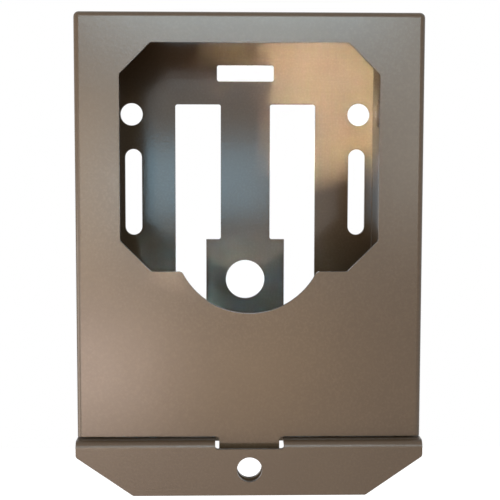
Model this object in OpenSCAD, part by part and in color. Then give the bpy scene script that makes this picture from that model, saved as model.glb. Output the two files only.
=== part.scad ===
// Steel security box for a trail camera: a folded housing with a sliding front cover.
// Millimetres. The origin is the middle of the rear plate's back face.
// +Z is up, +X is to the right as seen from the front, and the cover faces -Y.

/* [Sheet steel] */
// Thickness of every sheet
sheet = 1.5; // [1.2:0.1:2]
// Inside radius of the folds
fold_r = 0.2; // [0.2:0.1:1.2]

/* [Housing] */
// Width over the two side walls
housing_w = 97.6; // [90:0.2:120]
// Height of the folded channel, between the two end plates
housing_h = 131.5; // [125:0.5:160]
// Depth from the back face to the front of the lips
housing_d = 66; // [45:0.5:90]
// How far each front lip stands out from its side wall
lip_out = 4; // [3.6:0.1:6]
// How far the end plates step in from the channel's outer faces, for the weld
weld_step = 0.75; // [0.4:0.05:1]

/* [Rear plate windows] */
// Width of the strip between the two windows
strip_w = 18.2; // [12:0.2:24]
// Width of each window
window_w = 16.8; // [10:0.2:18]
// Distance from the ends of the channel to the windows
window_end = 22.8; // [20:0.2:30]
// Radius of the corners of the windows and of the slot above them
window_r = 0.8; // [0.4:0.1:1.5]
// Width of the pad at the foot of the strip
pad_w = 29; // [25:0.2:34]
// Height of the pad's upper edge below the middle of the channel
pad_drop = 7; // [2:0.5:14]
// Diameter of the hole in the pad
pad_hole_d = 14.4; // [8:0.2:18]
// Height of the pad hole below the middle of the channel
pad_hole_drop = 22; // [18:0.5:30]

/* [Rear plate holes] */
// Diameter of the lag bolt holes
lag_d = 8.2; // [5:0.1:8.4]
// Distance from the side walls' inner faces to the lag bolt holes
lag_side = 5.3; // [5.3:0.1:12]
// Distance from the ends of the channel to the lag bolt holes
lag_end = 26.5; // [20:0.5:40]
// Width of the strap slots
strap_w = 6.2; // [4.5:0.1:7]
// Length of the strap slots
strap_l = 31.8; // [20:0.2:40]
// Distance from the side walls' inner faces to the middle of the strap slots
strap_side = 5.9; // [5:0.1:12]
// Height of the strap slots above the middle of the channel
strap_rise = 10.6; // [0:0.2:14]
// Width of the slot above the windows
top_slot_w = 21; // [12:0.5:40]
// Height of the slot above the windows
top_slot_h = 5.9; // [4:0.1:8]
// Distance from the upper end of the channel to the middle of that slot
top_slot_end = 11.4; // [8:0.2:14]

/* [Side walls] */
// Diameter of the cable holes
cable_d = 9.6; // [6:0.2:14]
// Distance from the back face to the cable holes
cable_back = 16.2; // [12:0.2:24]

/* [Cover] */
// Running clearance on the front and back of the lips
guide_gap = 0.5; // [0.3:0.05:0.8]
// Clearance beside the outer edges of the lips
tip_gap = 0.7; // [0.4:0.05:1]
// Gap from the cover's inner edges to the side walls
hem_gap = 1.5; // [1:0.1:2]
// Gap under the cover's lower edge and under its top
seat_gap = 0.4; // [0.3:0.05:0.6]
// Width of the frame beside the opening
frame_side = 14.1; // [10:0.1:20]
// Height of the frame above the opening
frame_top = 9.5; // [6:0.1:16]
// Height of the eight-sided part of the opening
opening_h = 71.9; // [60:0.1:78]
// Legs of the clipped corners of the opening
opening_clip = 9.8; // [5:0.1:16]
// Radius of the opening's corners
opening_r = 1; // [0.5:0.1:2]
// Radius of the round lower lobe of the opening
lobe_r = 23.9; // [18:0.1:28]
// How far the lobe reaches below the eight-sided part
lobe_drop = 13.4; // [8:0.1:17]
// Radius where the lobe meets the eight-sided part
lobe_fillet = 1.6; // [0.8:0.1:3]

/* [Locking tab] */
// Width of the tab
tab_w = 19.3; // [15:0.1:26]
// How far the tab reaches below the cover
tab_l = 16.4; // [14.5:0.1:17]
// Radius of the tab's lower corners
tab_r = 3; // [1:0.5:5]
// Radius of the fillets at the root of the tab
root_r = 1; // [0.5:0.1:1.1]
// Clearance round the tab in its slot
tab_gap = 1.25; // [1:0.05:1.5]
// Diameter of the padlock hole
padlock_d = 8; // [6:0.5:10]
// Height of the padlock hole below the hasp plate's upper face
padlock_drop = 9.2; // [8:0.1:10]

/* [Hasp plate] */
// How far the flange stands in front of the cover
flange_out = 4.8; // [4:0.1:7]
// Height of the flange below the hasp plate's upper face
flange_drop = 17.5; // [17:0.1:22]
// Inside radius of the fold at the flange
flange_fold_r = 0.7; // [0.2:0.1:2]
// Width of the clipped lower corners
clip_w = 18.1; // [8:0.1:24]
// Height of the clipped lower corners
clip_h = 12.5; // [6:0.1:13]
// Radius of the flange's corners
flange_r = 1.2; // [0.5:0.1:2]
// How far the ears reach behind the cover's edges
ear_back = 2; // [1:0.5:6]
// Depth of the slot's notch in the fold, below the hasp plate's upper face
notch_drop = 2.6; // [2:0.1:4]
// Radius of the notch's lower corners
notch_r = 0.8; // [0.4:0.1:1]

/* [Hidden] */
$fn = 64;
coat = [0.53, 0.46, 0.39];

// Cuts run this far past the faces they open.
past = 1;

// Housing
wall_in = housing_w / 2 - sheet;
channel_top = housing_h / 2;
channel_foot = -housing_h / 2;
window_top = channel_top - window_end;
window_foot = channel_foot + window_end;
window_in = strip_w / 2;
window_out = window_in + window_w;
lag_x = wall_in - lag_side;
lag_z = channel_top - lag_end;
strap_x = wall_in - strap_side;
top_slot_z = channel_top - top_slot_end;
plate_half = housing_w / 2 - weld_step;
plate_corner_r = fold_r + sheet - weld_step;

// Cover
cover_in = housing_w / 2 + lip_out + tip_gap;
cover_half = cover_in + sheet;
cover_front = -(housing_d + guide_gap + sheet);
hem_front = -(housing_d - sheet) + guide_gap;
hem_back = hem_front + sheet;
guide_r = min(fold_r, sheet / 2 + guide_gap);
cover_foot = channel_foot + seat_gap;
cover_top = channel_top + sheet + seat_gap + sheet;
opening_half = cover_half - frame_side;
opening_top = cover_top - frame_top;
opening_foot = opening_top - opening_h;
lobe_z = opening_foot - lobe_drop + lobe_r;

// Hasp
flange_front = cover_front - flange_out;
flange_foot = channel_foot - flange_drop;
padlock_z = channel_foot - padlock_drop;
slot_half = tab_w / 2 + tab_gap;

// Unit vector from point a to point b.
function toward(a, b) = (b - a) / norm(b - a);

// Length of edge that a round of radius r takes up at corner b.
function round_setback(a, b, c, r) =
    let (bend = 180 - acos(toward(b, a) * toward(b, c)))
    r * tan(bend / 2);

// Centre of the round of radius r in corner b.
function round_centre(a, b, c, r) =
    let (middle = toward(b, a) + toward(b, c))
    let (half_angle = acos(toward(b, a) * toward(b, c)) / 2)
    b + middle / norm(middle) * r / sin(half_angle);

// Convex outline through the given corners, each rounded to its own radius.
module rounded_outline(corners, radii) {
    count = len(corners);
    polygon([
        for (i = [0 : count - 1])
            let (a = corners[(i + count - 1) % count])
            let (b = corners[i])
            let (c = corners[(i + 1) % count])
            let (back = round_setback(a, b, c, radii[i]))
            for (p = radii[i] > 0 ? [b + toward(b, a) * back, b + toward(b, c) * back] : [b]) p
    ]);
    for (i = [0 : count - 1])
        if (radii[i] > 0)
            translate(round_centre(corners[(i + count - 1) % count], corners[i],
                                   corners[(i + 1) % count], radii[i]))
                circle(r = radii[i]);
}

// Upright rectangle from low corner to high corner, with all corners rounded.
module rounded_box_outline(low, high, r) {
    rounded_outline([low, [high[0], low[1]], high, [low[0], high[1]]], [r, r, r, r]);
}

// Upright slot outline with round ends, centred.
module slot_outline(w, l) {
    square([w, l - w], center = true);
    for (end = [-1, 1])
        translate([0, end * (l - w) / 2])
            circle(d = w);
}

// Section of a folded sheet. It starts along +X with its left face on the X axis,
// and turns a right angle to the left (1) or to the right (-1) after each leg.
module folded_section(legs, turns, r, i = 0) {
    translate([0, -sheet])
        square([legs[i], sheet]);
    if (i < len(turns))
        translate([legs[i], turns[i] > 0 ? r : -sheet - r]) {
            intersection() {
                difference() {
                    circle(r = r + sheet);
                    circle(r = r);
                }
                translate([0, turns[i] > 0 ? -r - sheet : 0])
                    square(r + sheet);
            }
            translate([turns[i] > 0 ? r : r + sheet, 0])
                rotate(turns[i] * 90)
                    folded_section(legs, turns, r, i + 1);
        }
}

// Stands an outline drawn in X and Z up in the part, from y = front to y = back.
module upright(front, back) {
    translate([0, back, 0])
        rotate([90, 0, 0])
            linear_extrude(back - front)
                children();
}

// Window in the rear plate, on the +X side: it narrows beside the pad.
module window_outline() {
    rounded_box_outline([window_in, -pad_drop], [window_out, window_top], window_r);
    rounded_box_outline([pad_w / 2, window_foot], [window_out, -pad_drop + 2 * window_r], window_r);
}

// Holes in the rear plate.
module rear_plate_holes() {
    for (side = [0, 1])
        mirror([side, 0]) {
            window_outline();
            translate([strap_x, strap_rise])
                slot_outline(strap_w, strap_l);
            for (end = [-1, 1])
                translate([lag_x, end * lag_z])
                    circle(d = lag_d);
        }
    rounded_box_outline([-top_slot_w / 2, top_slot_z - top_slot_h / 2],
                        [top_slot_w / 2, top_slot_z + top_slot_h / 2], window_r);
    translate([0, -pad_hole_drop])
        circle(d = pad_hole_d);
}

// Hat section: rear plate, side walls and outward front lips, folded from one sheet.
module back_channel() {
    lip_leg = lip_out - fold_r;
    wall_leg = housing_d - 2 * (sheet + fold_r);
    back_leg = housing_w - 2 * (sheet + fold_r);
    color(coat)
    difference() {
        translate([-(housing_w / 2 + lip_out), -(housing_d - sheet), channel_foot])
            linear_extrude(housing_h)
                folded_section([lip_leg, wall_leg, back_leg, wall_leg, lip_leg], [1, -1, -1, 1], fold_r);
        upright(-sheet - past, past)
            rear_plate_holes();
        translate([0, -cable_back, lag_z])
            rotate([0, 90, 0])
                cylinder(d = cable_d, h = housing_w + 2 * past, center = true);
    }
}

// Plan of an end plate, from the given front to the rear corners that follow the channel's folds.
module end_plate_plan(front) {
    rounded_outline(
        [[-plate_half, front], [plate_half, front], [plate_half, -weld_step], [-plate_half, -weld_step]],
        [0, 0, plate_corner_r, plate_corner_r]);
}

// Plan of the hasp plate's ears: as wide as the cover in front, tapering back to the channel.
module ears_plan(front) {
    ear_y = hem_back + ear_back;
    taper = cover_half - plate_half;
    polygon([[-cover_half, front], [cover_half, front], [cover_half, ear_y], [plate_half, ear_y + taper],
             [-plate_half, ear_y + taper], [-cover_half, ear_y]]);
}

// Front view of the hasp plate: clipped lower corners.
module flange_outline() {
    above = channel_foot + past;
    shoulder = flange_foot + clip_h;
    foot_half = cover_half - clip_w;
    rounded_outline(
        [[-cover_half, above], [-cover_half, shoulder], [-foot_half, flange_foot],
         [foot_half, flange_foot], [cover_half, shoulder], [cover_half, above]],
        [0, flange_r, flange_r, flange_r, flange_r, 0]);
}

// Flat plate on the channel's upper end.
module top_cap() {
    color(coat)
    translate([0, 0, channel_top])
        linear_extrude(sheet)
            end_plate_plan(-housing_d);
}

// Plate on the channel's lower end, folded down in front to the padlock flange.
module hasp_plate() {
    flange_fold = sheet + flange_fold_r;
    plate_leg = -flange_front - flange_fold - weld_step;
    flange_leg = flange_drop - flange_fold;
    cut_front = flange_front - past;
    color(coat)
    difference() {
        intersection() {
            translate([0, -weld_step, channel_foot])
                rotate([90, 0, -90])
                    linear_extrude(2 * cover_half, center = true)
                        folded_section([plate_leg, flange_leg], [-1], flange_fold_r);
            translate([0, 0, flange_foot - past])
                linear_extrude(flange_drop + 2 * past) {
                    end_plate_plan(cut_front);
                    ears_plan(cut_front);
                }
            upright(cut_front, past)
                flange_outline();
        }
        upright(cut_front, cover_front + sheet + guide_gap)
            rounded_box_outline([-slot_half, channel_foot - notch_drop],
                                [slot_half, channel_foot + 2 * notch_r], notch_r);
        upright(cut_front, flange_front + sheet + past)
            translate([0, padlock_z])
                circle(d = padlock_d);
    }
}

// Neck between the eight-sided part of the opening and the lobe. The sheet's corners beside it are rounded.
module lobe_neck() {
    lobe_centre = [0, lobe_z];
    reach = lobe_r + lobe_fillet;
    fillet_z = opening_foot - lobe_fillet;
    fillet_centre = [sqrt(pow(reach, 2) - pow(lobe_z - fillet_z, 2)), fillet_z];
    touch = lobe_centre + (fillet_centre - lobe_centre) * lobe_r / reach;
    difference() {
        polygon([[-fillet_centre[0], opening_foot + past], [-fillet_centre[0], opening_foot],
                 [-touch[0], touch[1]], touch,
                 [fillet_centre[0], opening_foot], [fillet_centre[0], opening_foot + past]]);
        for (side = [-1, 1])
            translate([side * fillet_centre[0], fillet_centre[1]])
                circle(r = lobe_fillet);
    }
}

// Eight-sided opening with a round lobe below it.
module opening_outline() {
    side = opening_half;
    clipped = opening_half - opening_clip;
    rounded_outline(
        [[-side, opening_foot + opening_clip], [-clipped, opening_foot],
         [clipped, opening_foot], [side, opening_foot + opening_clip],
         [side, opening_top - opening_clip], [clipped, opening_top],
         [-clipped, opening_top], [-side, opening_top - opening_clip]],
        [for (i = [0 : 7]) opening_r]);
    translate([0, lobe_z])
        circle(r = lobe_r);
    lobe_neck();
}

// Block with upright edges, top edges and upper front corners rounded.
// Its lower end and the back edge of its top are square.
module tray_block(half_w, front, back, foot, top, r) {
    intersection() {
        translate([0, 0, foot])
            linear_extrude(top - foot)
                rounded_box_outline([-half_w, front], [half_w, back], r);
        union() {
            translate([-half_w, front, foot])
                cube([2 * half_w, back - front, top - r - foot]);
            translate([-half_w + r, front + r, foot])
                cube([2 * (half_w - r), back - front - r, top - foot]);
            translate([0, front + r, top - r])
                rotate([0, 90, 0])
                    cylinder(r = r, h = 2 * (half_w - r), center = true);
            for (side = [-1, 1])
                translate([side * (half_w - r), front + r, top - r]) {
                    sphere(r = r);
                    rotate([-90, 0, 0])
                        cylinder(r = r, h = back - front - r);
                }
        }
    }
}

// Locking tab in the plane of the cover's face, with fillets at its root.
module tab_outline() {
    difference() {
        union() {
            rounded_box_outline([-tab_w / 2, cover_foot - tab_l], [tab_w / 2, cover_foot + 2 * tab_r], tab_r);
            translate([-tab_w / 2 - root_r, cover_foot - root_r])
                square([tab_w + 2 * root_r, root_r + past]);
        }
        for (side = [-1, 1])
            translate([side * (tab_w / 2 + root_r), cover_foot - root_r])
                circle(r = root_r);
        translate([0, padlock_z])
            circle(d = padlock_d);
    }
}

// Shallow tray: face with the opening, top return, and side returns hemmed round the lips.
module front_cover() {
    color(coat)
    difference() {
        union() {
            difference() {
                tray_block(cover_half, cover_front, hem_back, cover_foot, cover_top, guide_r + sheet);
                tray_block(cover_in, cover_front + sheet, hem_front, cover_foot - past, cover_top - sheet, guide_r);
                translate([-(housing_w / 2 + hem_gap), cover_front + sheet + guide_r, cover_foot - past])
                    cube([housing_w + 2 * hem_gap, hem_back - cover_front, cover_top - sheet - cover_foot + past]);
            }
            upright(cover_front, cover_front + sheet)
                tab_outline();
        }
        upright(cover_front - past, cover_front + sheet + past)
            opening_outline();
    }
}

back_channel();
top_cap();
hasp_plate();
front_cover();
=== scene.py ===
import math

import bmesh
import bpy
from mathutils import Matrix, Vector


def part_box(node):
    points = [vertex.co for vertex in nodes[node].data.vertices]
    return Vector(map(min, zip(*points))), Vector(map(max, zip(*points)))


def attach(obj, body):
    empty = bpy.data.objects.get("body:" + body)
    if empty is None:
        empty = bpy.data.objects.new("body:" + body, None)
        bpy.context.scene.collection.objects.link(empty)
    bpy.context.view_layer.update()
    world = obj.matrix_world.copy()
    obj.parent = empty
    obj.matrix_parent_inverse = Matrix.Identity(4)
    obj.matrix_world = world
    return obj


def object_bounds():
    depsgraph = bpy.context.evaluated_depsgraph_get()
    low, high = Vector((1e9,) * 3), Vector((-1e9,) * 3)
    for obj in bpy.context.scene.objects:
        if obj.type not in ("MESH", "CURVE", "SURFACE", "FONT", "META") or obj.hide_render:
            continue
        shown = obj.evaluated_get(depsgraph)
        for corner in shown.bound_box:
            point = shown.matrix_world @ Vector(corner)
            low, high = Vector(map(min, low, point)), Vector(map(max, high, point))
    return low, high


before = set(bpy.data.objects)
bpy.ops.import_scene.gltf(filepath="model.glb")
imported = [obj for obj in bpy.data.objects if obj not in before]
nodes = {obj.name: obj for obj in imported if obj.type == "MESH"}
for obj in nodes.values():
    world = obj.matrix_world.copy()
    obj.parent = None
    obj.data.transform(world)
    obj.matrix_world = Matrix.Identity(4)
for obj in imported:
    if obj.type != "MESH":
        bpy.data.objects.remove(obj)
cad_low, cad_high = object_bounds()
scene = bpy.context.scene

MM = 0.001
WHITE = (1.0, 1.0, 1.0, 1.0)

# View of the photograph: a short telephoto a little above the box, looking slightly down and to the right
IMAGE_PIXELS = 500
FOCAL_PIXELS = 1161.5
SENSOR_MM = 36.0
CLIP_START = 10.0 * MM
CAMERA_PLACE = Vector((-9.2, -434.0, 26.2)) * MM
CAMERA_DOWN = math.radians(4.92)
CAMERA_RIGHT = math.radians(1.46)
CAMERA_ROLL = math.radians(0.11)

# Powder coat: a warm brown, smooth on the housing and coarser on the hasp plate, where the same coat is also
# painted darker as painted shade
COAT_DARK = (0.103, 0.064, 0.036)
COAT_COLOR = (0.120, 0.077, 0.044)
COAT_PALE = (0.142, 0.094, 0.057)
COAT_WORN = (0.220, 0.165, 0.120)
COVER_ROUGHNESS = 0.22
COVER_PEEL = 0.3
HASP_ROUGHNESS = 0.34
HASP_PEEL = 0.9
# Painted shade: the hasp plate's copy of the coat is darkened by this factor to stand in for the shade on
# its flange
HASP_PAINTED_SHADE = 0.84
HOUSING_ROUGHNESS = 0.12
HOUSING_PEEL = 0.25

# Patterns of the coat: the size of each in millimetres, and the stretch of the noise that each one uses
CLOUD_MM = 38.0
CLOUD_RANGE = (0.3, 0.7)
GRAIN_MM = 0.75
GRAIN_RANGE = (0.45, 0.8)
GRAIN_MOST = 0.6
SHEEN_MM = 6.0
SHEEN_RANGE = (0.3, 0.7)
SHEEN_CHANGE = 0.008
PEEL_MM = 0.9
PEEL_DEPTH = 0.04 * MM

# Edges of the coat: rounded a little, and rubbed paler in places where the surface bends
EDGE_RADIUS = 0.12 * MM
WEAR_WIDTH = 0.35 * MM
WEAR_BEND = (0.99, 0.8)
WEAR_MM = 5.0
WEAR_RANGE = (0.4, 0.65)
WEAR_MOST = 0.5
BEVEL_SAMPLES = 4

# Stitch welds in the steps where the two end plates meet the channel
WELD_LENGTH = 13.0 * MM
WELD_RADIUS = 0.72 * MM
WELD_RIPPLE = 1.3 * MM
WELD_RIPPLE_DEPTH = 0.16
WELD_END_POWER = 6
WELD_END_LEAST = 0.04
WELD_RING = 0.2 * MM
WELD_SIDES = 14
SIDE_WELDS = (-13.0 * MM, -33.0 * MM, -53.0 * MM)
REAR_WELDS = (-30.0 * MM, 0.0, 30.0 * MM)

# Floor and room
FLOOR_Z = -0.40
FLOOR_SIZE = 2.4
FLOOR_PAINT = (0.45, 0.45, 0.45, 1.0)
FLOOR_LIFT = 0.95
ROOM_DIRECTION = (-0.15, 0.98, 0.1)
ROOM_RANGE = (-0.1, 0.4)
ROOM_DIM = 0.04
ROOM_BRIGHT = 1.0

# Lamps: soft panels round the front, and narrow beams through the opening to points on the rear plate
PANEL_DISTANCE = 0.8
PANEL_SPREAD = 180.0
BEAM_DISTANCE = 0.6
BEAM_COLOR = (0.96, 0.98, 1.0)
RIGHT_AIM = (0.034, 0.0, 0.047)
TOP_AIM = (0.009, 0.0, 0.064)
LOW_AIM = (-0.008, 0.0, -0.024)


def add_node(tree, kind, **values):
    """A shader node with its properties set by name and its sockets by their label."""
    node = tree.nodes.new(kind)
    for name, value in values.items():
        if hasattr(node, name):
            setattr(node, name, value)
        else:
            node.inputs[name.replace("_", " ")].default_value = value
    return node


def add_range(tree, value, span, low, high):
    """The value with the ends of its span moved to low and high, and held there beyond them."""
    remap = add_node(
        tree, "ShaderNodeMapRange", From_Min=span[0], From_Max=span[1], To_Min=low, To_Max=high
    )
    tree.links.new(value, remap.inputs["Value"])
    return remap.outputs["Result"]


def make_camera():
    data = bpy.data.cameras.new("camera")
    data.sensor_width = SENSOR_MM
    data.lens = SENSOR_MM * FOCAL_PIXELS / IMAGE_PIXELS
    data.clip_start = CLIP_START
    camera = bpy.data.objects.new("camera", data)
    scene.collection.objects.link(camera)
    turn = Matrix.Rotation(-CAMERA_RIGHT, 4, "Z")
    tip = Matrix.Rotation(math.pi / 2 - CAMERA_DOWN, 4, "X")
    roll = Matrix.Rotation(CAMERA_ROLL, 4, "Z")
    camera.matrix_world = Matrix.Translation(CAMERA_PLACE) @ turn @ tip @ roll
    scene.camera = camera


def make_coat(name, roughness, peel, painted_shade=1.0):
    """Brown powder coat with soft mottling, a fine grain, an orange-peel bump and rubbed edges. The last
    argument darkens all its colours as painted shade.
    """
    material = bpy.data.materials.new(name)
    material.use_nodes = True
    tree = material.node_tree
    shader = tree.nodes["Principled BSDF"]
    place = add_node(tree, "ShaderNodeTexCoord").outputs["Object"]

    # Every coat colour is scaled by the painted-shade factor, which is 1 except on the hasp plate's darkened
    # copy
    def with_painted_shade(color):
        return tuple(level * painted_shade for level in color) + (1.0,)

    def noise(wavelength_mm, detail):
        texture = add_node(tree, "ShaderNodeTexNoise", Scale=1000.0 / wavelength_mm, Detail=detail)
        tree.links.new(place, texture.inputs["Vector"])
        return texture.outputs["Fac"]

    def mixed(amount, first, second):
        blend = add_node(tree, "ShaderNodeMix", data_type="RGBA")
        tree.links.new(amount, blend.inputs[0])
        for socket, color in ((blend.inputs[6], first), (blend.inputs[7], second)):
            if isinstance(color, tuple):
                socket.default_value = color
            else:
                tree.links.new(color, socket)
        return blend.outputs[2]

    cloud = add_range(tree, noise(CLOUD_MM, 2.0), CLOUD_RANGE, 0.0, 1.0)
    grain = add_range(tree, noise(GRAIN_MM, 2.0), GRAIN_RANGE, 0.0, GRAIN_MOST)
    body = mixed(cloud, with_painted_shade(COAT_DARK), with_painted_shade(COAT_COLOR))
    speckled = mixed(grain, body, with_painted_shade(COAT_PALE))

    bend = add_node(tree, "ShaderNodeBevel", samples=BEVEL_SAMPLES, Radius=WEAR_WIDTH)
    face = add_node(tree, "ShaderNodeNewGeometry")
    flatness = add_node(tree, "ShaderNodeVectorMath", operation="DOT_PRODUCT")
    tree.links.new(bend.outputs["Normal"], flatness.inputs[0])
    tree.links.new(face.outputs["Normal"], flatness.inputs[1])
    edge = add_range(tree, flatness.outputs["Value"], WEAR_BEND, 0.0, 1.0)
    patches = add_range(tree, noise(WEAR_MM, 3.0), WEAR_RANGE, 0.0, WEAR_MOST)
    rubbed = add_node(tree, "ShaderNodeMath", operation="MULTIPLY")
    tree.links.new(edge, rubbed.inputs[0])
    tree.links.new(patches, rubbed.inputs[1])
    coat = mixed(rubbed.outputs["Value"], speckled, with_painted_shade(COAT_WORN))
    tree.links.new(coat, shader.inputs["Base Color"])

    sheen = noise(SHEEN_MM, 3.0)
    gloss = add_range(tree, sheen, SHEEN_RANGE, roughness - SHEEN_CHANGE, roughness + SHEEN_CHANGE)
    tree.links.new(gloss, shader.inputs["Roughness"])

    rounded = add_node(tree, "ShaderNodeBevel", samples=BEVEL_SAMPLES, Radius=EDGE_RADIUS)
    skin = add_node(tree, "ShaderNodeBump", Strength=1.0, Distance=peel * PEEL_DEPTH)
    tree.links.new(noise(PEEL_MM, 1.0), skin.inputs["Height"])
    tree.links.new(rounded.outputs["Normal"], skin.inputs["Normal"])
    tree.links.new(skin.outputs["Normal"], shader.inputs["Normal"])
    return material


def add_weld(mesh, middle, along):
    """One stitch of weld: a round bead with ripples, drawn in at both ends."""
    up = Vector((0.0, 0.0, 1.0))
    across = along.cross(up)
    steps = round(WELD_LENGTH / WELD_RING)
    rings = []
    for step in range(steps + 1):
        share = step / steps
        reach = (share - 0.5) * WELD_LENGTH
        ripple = 1.0 - WELD_RIPPLE_DEPTH * abs(math.cos(math.pi * reach / WELD_RIPPLE))
        taper = math.sqrt(max(1.0 - abs(2.0 * share - 1.0) ** WELD_END_POWER, WELD_END_LEAST))
        radius = WELD_RADIUS * ripple * taper
        ring = []
        for side in range(WELD_SIDES):
            angle = 2.0 * math.pi * side / WELD_SIDES
            offset = across * math.cos(angle) + up * math.sin(angle)
            ring.append(mesh.verts.new(middle + along * reach + offset * radius))
        rings.append(ring)
    for near, far in zip(rings, rings[1:]):
        for side in range(WELD_SIDES):
            after = (side + 1) % WELD_SIDES
            mesh.faces.new((near[side], near[after], far[after], far[side]))
    mesh.faces.new(reversed(rings[0]))
    mesh.faces.new(rings[-1])


def make_welds(name, seam_z, material):
    """The stitches that hold an end plate on the channel: three along each side and three along the rear."""
    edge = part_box("top_cap")[1]
    mesh = bmesh.new()
    for place in SIDE_WELDS:
        for side in (-1.0, 1.0):
            add_weld(mesh, Vector((side * edge[0], place, seam_z)), Vector((0.0, 1.0, 0.0)))
    for place in REAR_WELDS:
        add_weld(mesh, Vector((place, edge[1], seam_z)), Vector((1.0, 0.0, 0.0)))
    bmesh.ops.recalc_face_normals(mesh, faces=mesh.faces)
    for face in mesh.faces:
        face.smooth = True
    data = bpy.data.meshes.new(name)
    mesh.to_mesh(data)
    mesh.free()
    data.materials.append(material)
    welds = bpy.data.objects.new(name, data)
    scene.collection.objects.link(welds)
    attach(welds, "housing")


def add_background_rays(tree):
    """One for the rays that show the white background: the camera's, off gloss and through glass."""
    path = add_node(tree, "ShaderNodeLightPath")
    found = path.outputs["Is Camera Ray"]
    for kind in ("Is Glossy Ray", "Is Transmission Ray"):
        either = add_node(tree, "ShaderNodeMath", operation="MAXIMUM")
        tree.links.new(found, either.inputs[0])
        tree.links.new(path.outputs[kind], either.inputs[1])
        found = either.outputs["Value"]
    return found


def make_floor():
    """Pale floor that shows as white, with the box's shadow still on it."""
    half = FLOOR_SIZE / 2
    mesh = bpy.data.meshes.new("floor")
    corners = [(x * half, y * half, FLOOR_Z) for x, y in ((-1, -1), (1, -1), (1, 1), (-1, 1))]
    mesh.from_pydata(corners, [], [(0, 1, 2, 3)])
    floor = bpy.data.objects.new("floor", mesh)
    scene.collection.objects.link(floor)
    material = bpy.data.materials.new("floor")
    material.use_nodes = True
    tree = material.node_tree
    tree.nodes.clear()
    paint = add_node(tree, "ShaderNodeBsdfDiffuse", Color=FLOOR_PAINT)
    glow = add_node(tree, "ShaderNodeEmission")
    both = add_node(tree, "ShaderNodeAddShader")
    output = add_node(tree, "ShaderNodeOutputMaterial")
    lift = add_node(tree, "ShaderNodeMath", operation="MULTIPLY")
    lift.inputs[1].default_value = FLOOR_LIFT
    tree.links.new(add_background_rays(tree), lift.inputs[0])
    tree.links.new(lift.outputs["Value"], glow.inputs["Strength"])
    tree.links.new(paint.outputs["BSDF"], both.inputs[0])
    tree.links.new(glow.outputs["Emission"], both.inputs[1])
    tree.links.new(both.outputs["Shader"], output.inputs["Surface"])
    mesh.materials.append(material)


def make_world():
    """White for the camera, gloss and glass. Diffuse light comes from a room that is dim in front."""
    world = bpy.data.worlds.new("studio")
    world.use_nodes = True
    scene.world = world
    tree = world.node_tree
    tree.nodes.clear()
    direction = add_node(tree, "ShaderNodeTexCoord")
    toward = add_node(tree, "ShaderNodeVectorMath", operation="DOT_PRODUCT")
    toward.inputs[1].default_value = ROOM_DIRECTION
    tree.links.new(direction.outputs["Generated"], toward.inputs[0])
    room = add_range(tree, toward.outputs["Value"], ROOM_RANGE, ROOM_DIM, ROOM_BRIGHT)
    level = add_node(tree, "ShaderNodeMath", operation="MAXIMUM")
    tree.links.new(add_background_rays(tree), level.inputs[0])
    tree.links.new(room, level.inputs[1])
    backdrop = add_node(tree, "ShaderNodeBackground", Color=WHITE)
    tree.links.new(level.outputs["Value"], backdrop.inputs["Strength"])
    output = add_node(tree, "ShaderNodeOutputWorld")
    tree.links.new(backdrop.outputs["Background"], output.inputs["Surface"])


def make_lamp(name, azimuth, elevation, width, height, watts, color, target, distance, spread):
    """Area lamp that faces the target. Azimuth 0 is in front, and positive is to the right, in degrees."""
    turn = math.radians(azimuth)
    rise = math.radians(elevation)
    away = Vector((math.sin(turn) * math.cos(rise), -math.cos(turn) * math.cos(rise), math.sin(rise)))
    data = bpy.data.lights.new(name, "AREA")
    data.shape = "RECTANGLE"
    data.size = width
    data.size_y = height
    data.spread = math.radians(spread)
    data.energy = watts
    data.color = color
    lamp = bpy.data.objects.new(name, data)
    lamp.location = target + away * distance
    lamp.rotation_mode = "QUATERNION"
    lamp.rotation_quaternion = away.to_track_quat("Z", "Y")
    lamp.visible_camera = False
    scene.collection.objects.link(lamp)


def make_panel(name, azimuth, elevation, width, height, watts, color):
    """Soft panel that lights the whole box."""
    middle = (cad_low + cad_high) / 2
    make_lamp(name, azimuth, elevation, width, height, watts, color, middle, PANEL_DISTANCE, PANEL_SPREAD)


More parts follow.
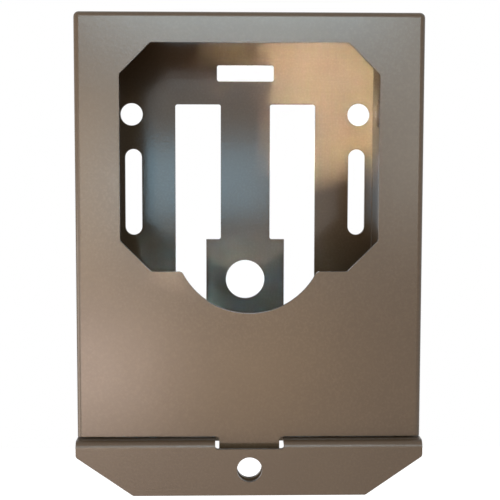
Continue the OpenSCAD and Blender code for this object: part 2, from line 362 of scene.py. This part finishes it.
def make_beam(name, azimuth, elevation, width, height, watts, color, aim, spread):
    """Narrow beam that goes through the opening to a point on the rear plate."""
    make_lamp(name, azimuth, elevation, width, height, watts, color, Vector(aim), BEAM_DISTANCE, spread)


make_camera()

housing_coat = make_coat("housing_coat", HOUSING_ROUGHNESS, HOUSING_PEEL)
front_coats = {
    "front_cover": make_coat("cover_coat", COVER_ROUGHNESS, COVER_PEEL),
    # The hasp plate has the same coat as the cover, painted darker as painted shade
    "hasp_plate": make_coat("hasp_coat", HASP_ROUGHNESS, HASP_PEEL, HASP_PAINTED_SHADE),
}
for name, node in nodes.items():
    node.data.materials.clear()
    node.data.materials.append(front_coats.get(name, housing_coat))

channel_low, channel_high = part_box("back_channel")
make_welds("top_cap_welds", channel_high[2], housing_coat)
make_welds("hasp_plate_welds", channel_low[2], housing_coat)

make_floor()
make_world()
make_panel("overhead_panel", 0.0, 27.0, 0.34, 0.2, 0.45, (0.9, 0.97, 1.0))
make_panel("top_panel", 0.8, 15.0, 0.31, 0.13, 1.6, (0.72, 0.92, 1.0))
make_panel("low_left_panel", -15.0, -13.0, 0.26, 0.1, 1.0, (1.0, 0.78, 0.66))
make_panel("low_front_panel", 0.5, -11.5, 0.2, 0.16, 0.24, (1.0, 0.66, 0.36))
make_panel("left_wall", -35.0, -7.0, 0.5, 0.3, 1.2, (1.0, 0.9, 0.8))
make_panel("far_left_wall", -74.0, -10.0, 0.4, 0.24, 1.5, (1.0, 0.9, 0.8))
make_panel("left_strip", -10.5, -0.5, 0.06, 0.17, 0.34, (1.0, 0.72, 0.46))
make_panel("right_strip", 14.0, 4.0, 0.1, 0.18, 0.24, (0.94, 1.0, 0.95))
make_panel("cool_front_panel", -3.5, 0.0, 0.2, 0.08, 0.25, (0.36, 0.75, 1.0))
make_beam("right_beam", -30.0, -20.0, 0.036, 0.052, 0.034, BEAM_COLOR, RIGHT_AIM, 2.0)
make_beam("top_beam", -15.0, -25.0, 0.034, 0.014, 0.006, BEAM_COLOR, TOP_AIM, 2.5)
make_beam("low_beam", 0.0, 30.0, 0.07, 0.024, 0.008, (0.3, 0.6, 1.0), LOW_AIM, 2.0)

scene.view_settings.view_transform = "Standard"
